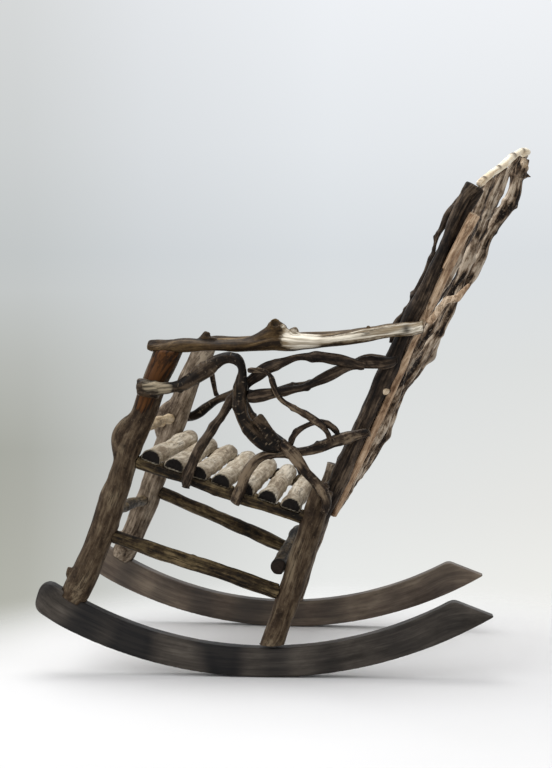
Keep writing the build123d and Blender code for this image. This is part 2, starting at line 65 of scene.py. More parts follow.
# The backdrop's colours by how steeply a ray rises, with painted light and shade: white low down, greyer near
# level, paler above; its painted shade, a darker band to the left, by how far the ray turns sideways, and the
# strength of that painted shade by how steeply the ray rises.
RISE_SPAN = (-0.26, 0.2)
SIDE_SPAN = (-0.6, 0.1)
SKY = (
    (0.0, (254, 254, 254)), (0.07, (250, 250, 250)), (0.17, (240, 240, 236)), (0.3, (231, 231, 228)),
    (0.5, (222, 224, 223)), (0.65, (219, 223, 226)), (0.8, (231, 234, 237)), (1.0, (241, 243, 246)))
SIDE_SHADE = (
    (0.0, (255, 255, 255)), (0.32, (200, 201, 196)), (0.46, (186, 187, 179)), (0.51, (191, 192, 186)),
    (0.62, (224, 226, 227)), (0.78, (249, 251, 253)), (1.0, (255, 255, 255)))
SIDE_SHADE_STRENGTH = (
    (0.03, (0, 0, 0)), (0.15, (255, 255, 255)), (0.38, (255, 255, 255)), (0.6, (184, 184, 184)),
    (1.0, (184, 184, 184)))

# The paper floor, its tones, and the distances at which it fades into the backdrop.
FLOOR_RADIUS = 4.0
FLOOR_SIDES = 96
FLOOR_DROP = 0.0002
PAPER = ((0.3, (226, 226, 226)), (0.7, (231, 231, 232)))
PAPER_SCALE = 1.2
FADE_MIDDLE = (0.1, -0.2, 0.0)
FADE_SPAN = (0.5, 1.15)

# Noises in the wood: waves per metre across and along the grain, detail, roughness.
NOISES = {
    "patches": (26.0, 7.0, 4.0, 0.55),
    "streak": (190.0, 8.0, 4.0, 0.6),
    "fibre": (900.0, 40.0, 3.0, 0.55),
    "mottle": (75.0, 45.0, 5.0, 0.68),
    "fleck": (230.0, 130.0, 2.0, 0.55),
    "lens": (90.0, 210.0, 1.0, 0.55),
}

# Where in those noises the wood's features start and end, and how strong they are.
TONE_STOPS = (0.28, 0.44, 0.58, 0.74)
SPECK_EDGE = (0.6, 0.68)
LENS_EDGE = (0.61, 0.68)
STREAK_EDGE = (0.36, 0.64)
SPLIT_PLACE = 0.47
SPLIT_EDGE = (0.004, 0.022)
SPLIT_PATCH = (0.45, 0.6)
STAIN_MIDDLE = 0.7
STAIN_PULL = 1.2
GAP_SHADE = 0.85
RING_SCALE = 110.0
RING_WARP = 2.5
END_STOPS = (0.25, 0.75)
GLOSS_SPAN = (0.2, 0.8)
SPECULAR = 0.12
STREAK_BUMP = 0.7
FIBRE_BUMP = 0.25
LENS_BUMP = 0.3
GAP_BUMP = 0.8

# Skinning and smoothing a stick, and its centre line.
MERGE_GAP = 0.00001
SPUR_SIDES = 20
EASE_PULLS = (0.55, -0.57)
SOFT_PULL = 0.6
SOFT_ROUNDS = 80
END_SOFTNESS = 1.2
END_FADE = 0.5
ROUNDS_PER_CURL = 3
FEWEST_STATIONS = 8
STEPS_PER_STATION = 7
LINE_ROUNDS = 4
LINE_TRIM = 2
STEEP_SIDEWAYS = 0.8

# Noises of the mesh: waves per metre across and along the stick, the weight of the
# finer one, and the shifts that keep them apart from each other and between sticks.
STICK_SHIFT = 10.0
SEED_SPAN = 37
LUMP_WAVES = (18, 18, 14)
RIDGE_WAVES = (110, 110, 22)
FINE_RIDGE_WAVES = (230, 230, 60)
FINE_RIDGE = 0.5
RIDGE_SHIFTS = (3, 5)
SWAY_WAVES = (13, 1, 1)
FINE_SWAY_WAVES = (31, 1, 1)
FINE_SWAY = 0.7
SWAY_SHIFTS = ((7, 8), (9, 11))

# Weights of swellings and ridges in the height that tones the wood: hollows painted darker, partly the wood's
# own furrows and partly painted shade, and tops lighter as wear.
LUMP_SHADE_AND_WEAR = 0.5
RIDGE_SHADE_AND_WEAR = 0.6

# Slanting bands: their noise, slope, level and contrast, and how they fade towards the rear.
BAND_WAVES = (4, 4, 11)
BAND_SHIFT = 13
BAND_SLANT = 0.9
BAND_LEVEL = 0.4
BAND_CONTRAST = 1.6
BAND_FADE = ((-0.1, 0.25), (1.0, 0.3))

# Sawn ends: how squarely they face along the stick, and how near its end they are.
CUT_FACING = 0.72
CUT_BLEND = 0.16
CUT_REACH = 0.03

# Knots: the stretch of a stick they keep to, their width in millimetres, their height as
# a share of the form's rise, and how far they are drawn out along the stick.
KNOT_SPAN = (0.06, 0.94)
KNOT_WIDTH = (3.2, 5.5)
KNOT_HEIGHT = (0.4, 1.1)
KNOT_STRETCH = 1.6

# Bud rings: the same, with heights in millimetres, and how far they lean to one side.
BUD_SPAN = (0.05, 0.95)
BUD_WIDTH = (4, 9)
BUD_HEIGHT = (1.0, 2.8)
BUD_LEAN = 0.35

# How far in front of and behind its centre line a stick can be slimmed or swollen.
GIRTH_DEPTH = (-0.02, 0.012)

# Colours and figure of each kind of wood. The shares weigh the noises in its tone,
# edge and seep draw the rim of a stain, and gloss is the roughness of light and dark wood.
CRISP = dict(edge=(0.32, 0.62), seep=0.9)
LOOKS = {
    "rocker_wood": dict(
        tones=((42, 38, 34), (60, 55, 50), (76, 70, 64), (94, 88, 80)), gap=(11, 9, 8), knot=(18, 14, 12),
        stain=((22, 22, 24), (38, 36, 35)), dots=(72, 64, 56), ends=((19, 15, 13), (42, 35, 31)), patch=1.0,
        streak=0.5, fibre=0.22, mottle=0.3, relief=0.05, specks=0.0, lens=0.0, splits=0.15, scales=0.0,
        knot_shade=0.6, bump=0.0004, edge=(-0.1, 0.9), seep=0.3, gloss=(0.38, 0.55)),
    "leg_wood": dict(
        CRISP, tones=((34, 24, 15), (60, 47, 34), (83, 69, 53), (108, 94, 75)), gap=(12, 8, 6),
        knot=(30, 21, 16), stain=((10, 5, 2), (82, 50, 22)), dots=(87, 75, 64),
        ends=((30, 22, 16), (65, 53, 43)), patch=1.2, streak=0.6, fibre=0.45, mottle=0.8, relief=0.16,
        specks=0.35, lens=0.2, splits=0.8, scales=0.3, knot_shade=0.5, bump=0.0012, gloss=(0.5, 0.75)),
    "far_leg": dict(
        CRISP, tones=((54, 43, 34), (98, 85, 71), (132, 118, 102), (164, 151, 133)), gap=(19, 14, 10),
        knot=(50, 40, 31), stain=((24, 18, 14), (60, 48, 38)), dots=(120, 108, 95),
        ends=((41, 33, 26), (83, 71, 58)), patch=1.2, streak=0.65, fibre=0.45, mottle=0.8, relief=0.16,
        specks=0.25, lens=0.15, splits=0.7, scales=0.3, knot_shade=0.5, bump=0.0012, gloss=(0.5, 0.75)),
    "rail_wood": dict(
        CRISP, tones=((15, 11, 7), (46, 35, 22), (73, 61, 40), (108, 92, 66)), gap=(7, 5, 4),
        knot=(24, 17, 12), stain=((14, 11, 9), (34, 27, 21)), dots=(75, 65, 52),
        ends=((16, 12, 9), (48, 37, 29)), patch=1.2, streak=0.9, fibre=0.45, mottle=1.0, relief=0.16,
        specks=0.25, lens=0.15, splits=0.8, scales=0.4, knot_shade=0.5, bump=0.001, gloss=(0.48, 0.72)),
    "peeled_wood": dict(
        CRISP, tones=((176, 150, 116), (228, 212, 184), (245, 236, 216), (253, 249, 240)), gap=(90, 64, 44),
        knot=(60, 40, 28), stain=((150, 118, 84), (196, 168, 132)), dots=(150, 120, 90),
        ends=((190, 164, 130), (236, 222, 198)), patch=1.0, streak=0.5, fibre=0.3, mottle=0.5, relief=0.1,
        specks=0.1, lens=0.1, splits=0.3, scales=0.05, knot_shade=0.95, bump=0.0006, gloss=(0.4, 0.6)),
    "tan_rail": dict(
        CRISP, tones=((98, 80, 57), (146, 128, 100), (177, 158, 129), (205, 189, 162)), gap=(36, 25, 16),
        knot=(54, 40, 27), stain=((60, 44, 30), (110, 90, 66)), dots=(99, 81, 59),
        ends=((81, 65, 47), (135, 117, 94)), patch=1.0, streak=0.6, fibre=0.35, mottle=0.6, relief=0.12,
        specks=0.15, lens=0.1, splits=0.5, scales=0.1, knot_shade=0.8, bump=0.0008, gloss=(0.45, 0.65)),
    "stile_wood": dict(
        CRISP, tones=((90, 66, 46), (152, 124, 98), (184, 158, 130), (214, 192, 166)), gap=(44, 28, 18),
        knot=(60, 42, 30), stain=((60, 40, 26), (110, 84, 62)), dots=(196, 172, 148),
        ends=((150, 124, 98), (206, 184, 158)), patch=1.0, streak=0.9, fibre=0.4, mottle=0.6, relief=0.1,
        specks=0.15, lens=0.1, splits=0.7, scales=0.1, knot_shade=0.8, bump=0.0008, gloss=(0.4, 0.6)),
    "arm_wood": dict(
        tones=((28, 18, 8), (58, 43, 24), (82, 64, 40), (116, 97, 68)), gap=(15, 10, 6), knot=(22, 16, 11),
        stain=((130, 114, 90), (238, 230, 213)), dots=(92, 79, 61), ends=((52, 38, 24), (120, 98, 72)),
        patch=1.1, streak=0.9, fibre=0.4, mottle=0.7, relief=0.1, specks=0.1, lens=0.0, splits=0.8,
        scales=0.1, knot_shade=0.85, bump=0.0009, edge=(0.32, 0.62), seep=0.8, gloss=(0.42, 0.62)),
    "slat_wood": dict(
        CRISP, tones=((114, 100, 82), (156, 143, 123), (184, 172, 152), (208, 198, 180)), gap=(38, 29, 23),
        knot=(62, 48, 38), stain=((40, 31, 25), (84, 70, 58)), dots=(120, 102, 86),
        ends=((9, 7, 6), (24, 18, 15)), patch=1.2, streak=0.65, fibre=0.5, mottle=0.6, relief=0.14,
        specks=0.15, lens=0.15, splits=0.8, scales=0.2, knot_shade=0.7, bump=0.001, gloss=(0.5, 0.75)),
    "post_bark": dict(
        CRISP, tones=((11, 6, 4), (32, 23, 16), (54, 43, 33), (88, 74, 60)), gap=(6, 4, 3),
        knot=(20, 15, 11), stain=((16, 11, 8), (44, 33, 25)), dots=(69, 59, 48),
        ends=((16, 12, 9), (46, 36, 27)), patch=1.2, streak=1.0, fibre=0.45, mottle=1.0, relief=0.22,
        specks=0.12, lens=0.1, splits=0.8, scales=0.5, knot_shade=0.4, bump=0.0014, gloss=(0.38, 0.62)),
    "back_bark": dict(
        CRISP, tones=((22, 15, 10), (83, 67, 52), (134, 116, 97), (184, 169, 150)), gap=(9, 6, 4),
        knot=(34, 25, 18), stain=((170, 148, 120), (214, 196, 172)), dots=(151, 134, 115),
        ends=((72, 55, 46), (136, 114, 100)), patch=1.3, streak=0.9, fibre=0.45, mottle=1.2, relief=0.6,
        specks=0.3, lens=0.2, splits=0.7, scales=0.5, knot_shade=0.5, bump=0.0014, gloss=(0.4, 0.65)),
    "panel_bark": dict(
        CRISP, tones=((6, 3, 1), (21, 14, 8), (39, 29, 19), (72, 59, 45)), gap=(3, 2, 2), knot=(52, 44, 36),
        stain=((34, 26, 18), (152, 139, 117)), dots=(112, 99, 82), ends=((48, 39, 32), (99, 87, 74)),
        patch=1.2, streak=0.8, fibre=0.4, mottle=1.0, relief=0.5, specks=0.2, lens=0.6, splits=0.4,
        scales=0.6, knot_shade=0.35, bump=0.0013, gloss=(0.3, 0.5)),
}
# The far rocker: the same rocker wood in lighter tones, painted light on its face.
LOOKS["lit_far_rocker"] = dict(
    LOOKS["rocker_wood"], tones=((66, 57, 50), (88, 77, 68), (107, 95, 83), (128, 115, 100)),
    stain=((52, 49, 47), (68, 62, 57)), edge=(-0.1, 1.1))
LOOKS["brown_bark"] = dict(
    LOOKS["panel_bark"], tones=((14, 9, 6), (43, 32, 23), (72, 59, 46), (118, 102, 83)),
    stain=((72, 63, 52), (120, 110, 96)))

# Nodes that look unlike the rest of their slot; the far rocker is the rocker wood painted lighter, as painted
# light.
LOOK_OF = {
    "front_leg_right": "far_leg", "rear_leg_right": "far_leg", "front_seat_rail": "tan_rail",
    "rocker_right": "lit_far_rocker", "back_vine_right": "post_bark", "back_branch_right_1": "post_bark",
    "back_branch_right_2": "post_bark", "back_branch_right_3": "post_bark", "panel_riser_left": "post_bark",
    "panel_arch_left": "post_bark", "panel_bough_left": "post_bark", "panel_creeper_left": "brown_bark",
    "panel_twig_left": "brown_bark", "panel_stay_left": "brown_bark",
}

# How each kind of stick departs from a smooth one: voxel of its mesh in millimetres,
# rounds of smoothing, slow swellings, ridges along the grain, wander of the centre line,
# knots per metre and their height, bud rings per metre, rounding of its ends, and
# broad slanting bands.
FORM_FIELDS = ("voxel", "rounds", "lump", "ridge", "kink", "knots", "rise", "buds", "curl", "bands")
FORMS = {
    "rocker_wood": (3.0, 2, 0, 0.0, 0.0, 0, 0.0, 0, 0, 1),
    "leg_wood": (2.6, 5, 4.5, 0.8, 2.0, 6, 2.6, 0, 0, 0),
    "rail_wood": (2.4, 5, 3.5, 0.7, 2.0, 6, 2.0, 0, 3, 0),
    "peeled_wood": (2.0, 5, 2.6, 0.3, 2.2, 6, 1.2, 3, 3, 0),
    "stile_wood": (2.2, 5, 2.5, 0.5, 1.5, 4, 1.2, 0, 2, 0),
    "arm_wood": (2.2, 4, 3.5, 0.6, 1.5, 4, 2.0, 0, 11, 0),
    "slat_wood": (2.6, 3, 3.6, 0.8, 1.5, 3, 1.8, 0, 3, 0),
    "post_bark": (2.6, 5, 5.0, 1.2, 2.4, 7, 3.0, 2, 8, 0),
    "back_bark": (2.1, 4, 6.5, 1.4, 4.2, 14, 5.0, 12, 4, 0),
    "panel_bark": (2.1, 4, 6.5, 1.2, 3.8, 12, 3.6, 14, 4, 0),
}

# Stubs, spurs and knobs that stand out from a stick, in millimetres: where each
# starts and ends, and its radius there.
SPURS = {
    "arm_left": (
        ((-267, -262, 655), (-166, -262, 656), 12.5, 11), ((-160, -256, 652), (-150, -256, 683), 20, 6),
        ((26, -253, 668), (19, -253, 689), 9, 6), ((-20, -256, 690), (-14, -271, 700), 13, 11),
        ((-10, -256, 690), (14, -258, 664), 9, 15), ((164, -259, 680), (167, -259, 694), 7, 2),
        ((262, -247, 692), (277, -247, 711), 9, 2)),
    "crest_left": (((478, -24, 1048), (491, 9, 1057), 7, 7),),
    "crest_right": (((478, 30, 1048), (491, -2, 1057), 7, 7),),
    "panel_bow_left": (
        ((-12, -284, 464), (-50, -284, 514), 14, 11), ((-271, -294, 573), (-243, -295, 568), 14, 12.5)),
    "panel_stay_left": (((76, -283, 380), (91, -283, 387), 9, 6),),
    "back_king": (((470, -5, 1014), (498, -5, 1003), 12, 2.5), ((474, -8, 1000), (481, -8, 1040), 14, 12)),
    "back_stile_left": (
        ((282, -220, 700), (311, -232, 746), 6, 6.5), ((309, -232, 745), (333, -229, 749), 6.5, 6.5),
        ((331, -229, 748), (356, -216, 776), 6.5, 4), ((312, -221, 806), (372, -225, 912), 5, 9)),
    "back_post_left": (((330, -214, 858), (389, -214, 964), 7, 8),),
    "back_branch_left_1": (((231, -162, 573), (197, -226, 565), 7, 5.5),),
}

# Sticks slimmer or stouter than round: heights in metres, and the shares by which
# their front and rear halves change there.
GIRTHS = {
    "back_post_left": (
        (0.69, 0.77, 0.84, 0.9, 0.96), (0, -0.3, -0.6, -0.35, -0.15), (0, 0, -0.1, -0.4, -0.5)),
    "back_stile_left": ((0.3, 0.4), (0, 0), (0.2, 0.6)),
}

# Heights in metres at which the foot of a leg is sawn level.
LOWEST = {"rear_leg_left": 0.064}

# Marks on single sticks, in millimetres: kind, reach, height and the points it follows.
MARKS = {
    "front_leg_left": (
        ("hole", 2.6, -2.0, ((-310, -290, 458), (-310, -280, 458))),
        ("hole", 2.2, -1.5, ((-299, -290, 438), (-299, -280, 438))),
        ("stain", 26, 0, ((-234, -285, 630), (-248, -285, 598), (-276, -285, 547))),
        ("soft", 55, 0, ((-332, -285, 474),)), ("stain", 16, 0, ((-210, -285, 634), (-222, -285, 600)))),
    "front_leg_right": (
        ("hole", 2.4, -2.0, ((-422, 248, 165), (-422, 232, 165))),
        ("hole", 2.4, -2.0, ((-410, 248, 163), (-410, 232, 163)))),
    "rear_leg_left": (
        ("hole", 1.8, -1.6, ((11, -278, 164), (1, -278, 133), (-11, -278, 101), (-23, -278, 69))),),
    "rocker_left": (("soft", 34, 0, ((-482, -285, 150),)),),
    "rocker_right": (("soft", 34, 0, ((-482, 285, 150),)),),
    "rear_stretcher": (("stain", 26, 0, ((-10, -264, 219),)),),
    "arm_left": (
        ("knot", 9, 2.0, ((240, -275, 689), (240, -250, 689))),
        ("hole", 1.8, -1.5, ((-113, -277, 671), (-110, -285, 645))),
        ("stain", 30, 0, ((22, -277, 672), (54, -277, 666))),
        ("stain", 24, 0, ((50, -288, 666), (110, -286, 672), (200, -281, 682), (270, -273, 692))),
        ("stain", 9, 0, ((4, -268, 694), (8, -268, 684))), ("hole", 8, -8, ((-13, -273, 701),)),
        ("hole", 6, -1.0, ((-2, -285, 655), (-24, -285, 648)))),
    "crest_left": (
        ("knot", 6, 1.6, ((391, -200, 986),)), ("knot", 4, 1.2, ((383, -212, 978),)),
        ("knot", 6, 1.6, ((423, -140, 1013),)), ("knot", 8, 2.4, ((455, -78, 1042),)),
        ("knot", 6, 1.4, ((478, -34, 1056),))),
    "back_king": (
        ("knot", 15, 6.0, ((291, -5, 627),)), ("knot", 15, 5.0, ((203, -5, 460),)),
        ("stain", 11, 1.0, ((482, -22, 1030),))),
    "back_branch_left_1": (("stain", 12, 0, ((197, -226, 565),)),),
    "panel_bow_left": (("stain", 14, 0, ((-262, -305, 578), (-225, -305, 574))),),
    "panel_bough_left": (("stain", 16, 0, ((0, -290, 578), (60, -290, 596))),),
    "panel_creeper_left": (("stain", 14, 0, ((-108, -300, 330),)),),
}

# Points of a mesh along its stick: length along the centre line, two offsets across it,
# and the directions of the line and of both offsets.
Place = namedtuple("Place", "length across way first second")


def linear(colour):
    """Turn a 0 to 255 sRGB colour into a linear one with alpha."""
    shares = [channel / 255 for channel in colour]
    return tuple(c / 12.92 if c <= 0.04045 else ((c + 0.055) / 1.055) ** 2.4 for c in shares) + (1.0,)


class Graph:
    """The node tree of a material or a world, filled one node at a time."""

    def __init__(self, owner):
        self.owner = owner
        owner.use_nodes = True
        self.tree = owner.node_tree
        self.tree.nodes.clear()

    def add(self, kind, inputs=None, **settings):
        """Add a node, set its properties, and set or link its inputs."""
        node = self.tree.nodes.new("ShaderNode" + kind)
        for key, value in settings.items():
            setattr(node, key, value)
        for key, value in (inputs or {}).items():
            if isinstance(value, bpy.types.NodeSocket):
                self.tree.links.new(value, node.inputs[key])
            else:
                node.inputs[key].default_value = value
        return node

    def attribute(self, name, output="Fac"):
        """Read a value stored on the mesh."""
        return self.add("Attribute", attribute_name=name).outputs[output]

    def math(self, operation, *values, clamp=False):
        """Combine numbers."""
        inputs = dict(enumerate(values))
        return self.add("Math", inputs, operation=operation, use_clamp=clamp).outputs[0]

    def spread(self, value, low, high, to_low=0.0, to_high=1.0):
        """Map one range smoothly onto another."""
        inputs = {0: value, 1: low, 2: high, 3: to_low, 4: to_high}
        return self.add("MapRange", inputs, interpolation_type="SMOOTHSTEP").outputs[0]

    def share(self, value, low, high):
        """Map a range evenly onto 0 to 1."""
        return self.add("MapRange", {0: value, 1: low, 2: high}).outputs[0]

    def streaks(self, vector, seed, across, along, detail, rough):
        """Noise drawn out along the grain; both scales count waves per metre."""
        stretch = self.add("VectorMath", {0: vector, 1: (across, across, along)}, operation="MULTIPLY")
        inputs = {"Vector": stretch.outputs[0], "W": seed, "Scale": 1.0, "Detail": detail, "Roughness": rough}
        return self.add("TexNoise", inputs, noise_dimensions="4D").outputs[0]

    def ramp(self, value, *stops):
        """Colour a value by stops of place and colour."""
        node = self.add("ValToRGB", {0: value})
        elements = node.color_ramp.elements
        while len(elements) < len(stops):
            elements.new(0.5)
        for element, (place, colour) in zip(elements, stops):
            element.position = place
            element.color = linear(colour)
        return node.outputs[0]

    def mix(self, share, first, second, blend="MIX"):
        """Blend two colours."""
        inputs = {0: share, 6: first, 7: second}
        return self.add("Mix", inputs, data_type="RGBA", blend_type=blend).outputs[2]


def wood(name, look):
    """Weathered wood or bark whose figure follows the grain of its stick."""
    g = Graph(bpy.data.materials.new(name))
    grain = g.attribute("grain", "Vector")
    seed, height, cut, knot, crack, stain = [
        g.attribute(field) for field in ("seed", "height", "cut", "knot", "crack", "stain")]
    patches, streak, fibre, mottle, fleck, lens = [
        g.streaks(grain, seed, *waves) for waves in NOISES.values()]

    tone = g.math("MULTIPLY_ADD", patches, look["patch"], 0.5 - look["patch"] / 2)
    for figure, weight in ((streak, "streak"), (fibre, "fibre"), (mottle, "mottle")):
        tone = g.math("MULTIPLY_ADD", g.math("SUBTRACT", figure, 0.5), look[weight], tone)
    # The height paints hollows darker, partly the wood's own furrows and partly painted shade, and tops
    # lighter as wear.
    tone = g.math("MULTIPLY_ADD", height, look["relief"], tone)
    colour = g.ramp(tone, *zip(TONE_STOPS, look["tones"]))

    specks = g.math("MULTIPLY", g.spread(fleck, *SPECK_EDGE), look["specks"])
    colour = g.mix(specks, colour, linear(look["tones"][-1]))
    lens = g.math("MULTIPLY", g.spread(lens, *LENS_EDGE), look["lens"])
    colour = g.mix(lens, colour, linear(look["dots"]))

    soak = g.math("MULTIPLY_ADD", g.math("SUBTRACT", mottle, 0.5), look["seep"], stain)
    soak = g.spread(soak, *look["edge"])
    tint = g.math("SUBTRACT", stain, STAIN_MIDDLE)
    tint = g.math("MULTIPLY_ADD", tint, STAIN_PULL, g.spread(streak, *STREAK_EDGE), clamp=True)
    colour = g.mix(soak, colour, g.mix(tint, *map(linear, look["stain"])))

    split = g.math("ABSOLUTE", g.math("SUBTRACT", streak, SPLIT_PLACE))
    split = g.math("SUBTRACT", 1.0, g.spread(split, *SPLIT_EDGE))
    split = g.math("MULTIPLY", split, g.spread(patches, *SPLIT_PATCH))
    split = g.math("MULTIPLY", split, look["splits"])
    gap = g.math("MAXIMUM", split, crack)
    colour = g.mix(g.math("MULTIPLY", gap, GAP_SHADE), colour, linear(look["gap"]))
    colour = g.mix(g.math("MULTIPLY", knot, look["knot_shade"]), colour, linear(look["knot"]))

    flat = g.add("VectorMath", {0: grain, 1: (1.0, 1.0, 0.0)}, operation="MULTIPLY").outputs[0]
    rings = g.add("TexWave", {
        "Vector": flat, "Scale": RING_SCALE, "Distortion": RING_WARP, "Detail": 2.0, "Detail Scale": 2.0,
    }, wave_type="RINGS", rings_direction="Z").outputs[1]
    end_tone = g.math("MULTIPLY_ADD", fleck, 0.5, g.math("MULTIPLY", rings, 0.5))
    colour = g.mix(cut, colour, g.ramp(end_tone, *zip(END_STOPS, look["ends"])))

    bump = g.math("MULTIPLY_ADD", streak, STREAK_BUMP, g.math("MULTIPLY", fibre, FIBRE_BUMP))
    bump = g.math("MULTIPLY_ADD", fleck, look["scales"], bump)
    bump = g.math("MULTIPLY_ADD", lens, LENS_BUMP, bump)
    bump = g.math("SUBTRACT", bump, g.math("MULTIPLY", gap, GAP_BUMP))
    relief = g.add("Bump", {"Strength": 1.0, "Distance": look["bump"], "Height": bump})
    low, high = look["gloss"]
    surface = g.add("BsdfPrincipled", {
        "Base Color": colour, "Roughness": g.spread(tone, *GLOSS_SPAN, high, low),
        "Normal": relief.outputs[0], "Specular IOR Level": SPECULAR,
    })
    g.add("OutputMaterial", {"Surface": surface.outputs[0]})
    return g.owner


def add_spur(shape, start, end, low, high):
    """Add a tapered stub between two points to a mesh."""
    run = end - start
    place = Matrix.Translation((start + end) / 2) @ run.to_track_quat("Z", "Y").to_matrix().to_4x4()
    bmesh.ops.create_cone(
        shape, cap_ends=True, segments=SPUR_SIDES, radius1=low, radius2=high, depth=run.length, matrix=place)


def even_mesh(node, voxel):
    """Skin a node's solid and its spurs with an even quad mesh on a new object."""
    piece = bpy.data.objects.new(node + "_wood", frame["nodes"][node].data.copy())
    scene.collection.objects.link(piece)
    shape = bmesh.new()
    shape.from_mesh(piece.data)
    bmesh.ops.remove_doubles(shape, verts=shape.verts, dist=MERGE_GAP)
    for start, end, low, high in SPURS.get(node, ()):
        add_spur(shape, Vector(start) * MM, Vector(end) * MM, low * MM, high * MM)
    shape.to_mesh(piece.data)
    shape.free()
    skin = piece.modifiers.new("skin", "REMESH")
    skin.mode = "VOXEL"
    skin.voxel_size = voxel * MM
    graph = bpy.context.evaluated_depsgraph_get()
    mesh = bpy.data.meshes.new_from_object(piece.evaluated_get(graph))
    piece.modifiers.clear()
    piece.data = mesh
    keep_outer_skin(mesh)
    return piece


def keep_outer_skin(mesh):
    """Drop the small inner skins that closed joints leave behind."""
    shape = bmesh.new()
    shape.from_mesh(mesh)
    left = set(shape.verts)
    skins = []
    while left:
        skin = {left.pop()}
        front = list(skin)
        while front:
            near = {edge.other_vert(vert) for vert in front for edge in vert.link_edges}
            front = list(near - skin)
            skin |= near
        left -= skin
        skins.append(skin)
    skins.sort(key=len)
    inner = [vert for skin in skins[:-1] for vert in skin]
    bmesh.ops.delete(shape, geom=inner, context="VERTS")
    shape.to_mesh(mesh)
    shape.free()


def read(mesh, kind, field, width, dtype):
    """Read one field of a mesh's vertices or edges as an array."""
    items = getattr(mesh, kind)
    values = np.zeros(len(items) * width, dtype)
    items.foreach_get(field, values)
    return values.reshape(-1, width)


def both_ways(edges):
    """List each edge from both of its ends."""
    return np.concatenate([edges[:, 0], edges[:, 1]]), np.concatenate([edges[:, 1], edges[:, 0]])


def draw_together(points, edges, shares):
    """Move points towards the middle of their neighbours, by one share after another."""
    ends, others = both_ways(edges)
    count = np.bincount(ends, minlength=len(points))[:, None]
    for share in shares:
        total = [np.bincount(ends, points[others, axis], len(points)) for axis in range(3)]
        points = points + share * (np.stack(total, 1) / count - points)
    return points


def ease(points, edges, rounds):
    """Smooth a mesh without shrinking it."""
    return draw_together(points, edges, EASE_PULLS * rounds)


def soften(points, edges, share, rounds):
    """Round off the part of a mesh where a share is set."""
    return draw_together(points, edges, [SOFT_PULL * share[:, None]] * rounds)


def steps_from(start, edges, count):
    """Count mesh steps from one vertex to every other."""
    ends, others = both_ways(edges)
    order = np.argsort(ends, kind="stable")
    others = others[order]
    first = np.searchsorted(ends[order], np.arange(count + 1))
    level = np.full(count, -1)
    level[start] = 0
    front = np.array([start])
    while len(front):
        reach = np.unique(np.concatenate([others[first[v]:first[v + 1]] for v in front]))
        reach = reach[level[reach] < 0]
        level[reach] = level[front[0]] + 1
        front = reach
    return level


def centre_line(points, edges):
    """Find the line through the middle of a stick, short of its ends."""
    far = int(np.argmax(steps_from(0, edges, len(points))))
    level = steps_from(far, edges, len(points))
    stations = max(FEWEST_STATIONS, level.max() // STEPS_PER_STATION)
    station = np.minimum((level * stations) // (level.max() + 1), stations - 1)
    count = np.bincount(station, minlength=stations)
    line = np.stack([np.bincount(station, points[:, axis], stations) / count for axis in range(3)], 1)
    for _ in range(LINE_ROUNDS):
        line[1:-1] = (line[:-2] + 2 * line[1:-1] + line[2:]) / 4
    return line[LINE_TRIM:-LINE_TRIM]


def along_line(points, line):
    """Place points by their length along a line and two offsets across it."""
    run = np.diff(line, axis=0)
    size = np.linalg.norm(run, axis=1)
    way = run / size[:, None]
    start = np.concatenate([[0], np.cumsum(size)[:-1]])
    side = np.zeros_like(way)
    guide = np.array([0.0, 1.0, 0.0]) if abs(way[0, 1]) < STEEP_SIDEWAYS else np.array([0.0, 0.0, 1.0])
    for k, direction in enumerate(way):
        guide = guide - direction * guide.dot(direction)
        guide = guide / np.linalg.norm(guide)
        side[k] = guide
    gap = points[:, None, :] - line[None, :-1, :]
    share = np.einsum("ijk,jk->ij", gap, way)
    share[:, 1:-1] = np.clip(share[:, 1:-1], 0, size[1:-1])
    share[:, 0] = np.minimum(share[:, 0], size[0])
    share[:, -1] = np.maximum(share[:, -1], 0)
    off = gap - share[:, :, None] * way[None]
    near = np.argmin(np.einsum("ijk,ijk->ij", off, off), axis=1)
    rows = np.arange(len(points))
    off = off[rows, near]
    first = side[near]
    second = np.cross(way[near], first)
    length = start[near] + share[rows, near]
    across = np.stack([(off * first).sum(1), (off * second).sum(1)], 1)
    return Place(length, across, way[near], first, second)


def rumple(places, waves, seed):
    """Smooth noise at many places, between about -1 and 1."""
    scaled = places * np.array(waves) + seed
    return np.array([noise.noise(Vector(place)) for place in scaled])


def gap_to(points, path):
    """Measure how far points are from a chain of straight runs."""
    path = np.array(path) * MM
    gaps = [np.linalg.norm(points - path[0], axis=1)]
    for start, end in zip(path, path[1:]):
        run = end - start
        share = np.clip((points - start) @ run / run.dot(run), 0, 1)
        gaps.append(np.linalg.norm(points - start - share[:, None] * run, axis=1))
    return np.min(gaps, axis=0)


def grow_knots(form, place, draw, rise, fields):
    """Raise knots and bud rings at drawn places, in millimetres."""
    low = place.length.min()
    total = place.length.max() - low
    angle = np.arctan2(place.across[:, 1], place.across[:, 0])
    radius = np.linalg.norm(place.across, axis=1)
    for _ in range(round(form["knots"] * total)):
        turn = draw.uniform(-math.pi, math.pi)
        centre = low + draw.uniform(*KNOT_SPAN) * total
        width = draw.uniform(*KNOT_WIDTH) * MM
        swing = (angle - turn + math.pi) % (2 * math.pi) - math.pi
        spot = np.exp(-((place.length - centre) ** 2 / KNOT_STRETCH + (swing * radius) ** 2) / width ** 2)
        rise += form["rise"] * draw.uniform(*KNOT_HEIGHT) * spot
        fields["knot"] = np.maximum(fields["knot"], spot)
    for _ in range(round(form["buds"] * total)):
        turn = draw.uniform(-math.pi, math.pi)
        centre = low + draw.uniform(*BUD_SPAN) * total
        ring = np.exp(-((place.length - centre) / (draw.uniform(*BUD_WIDTH) * MM)) ** 2)
        rise += draw.uniform(*BUD_HEIGHT) * ring * (1 - BUD_LEAN + BUD_LEAN * np.cos(angle - turn))


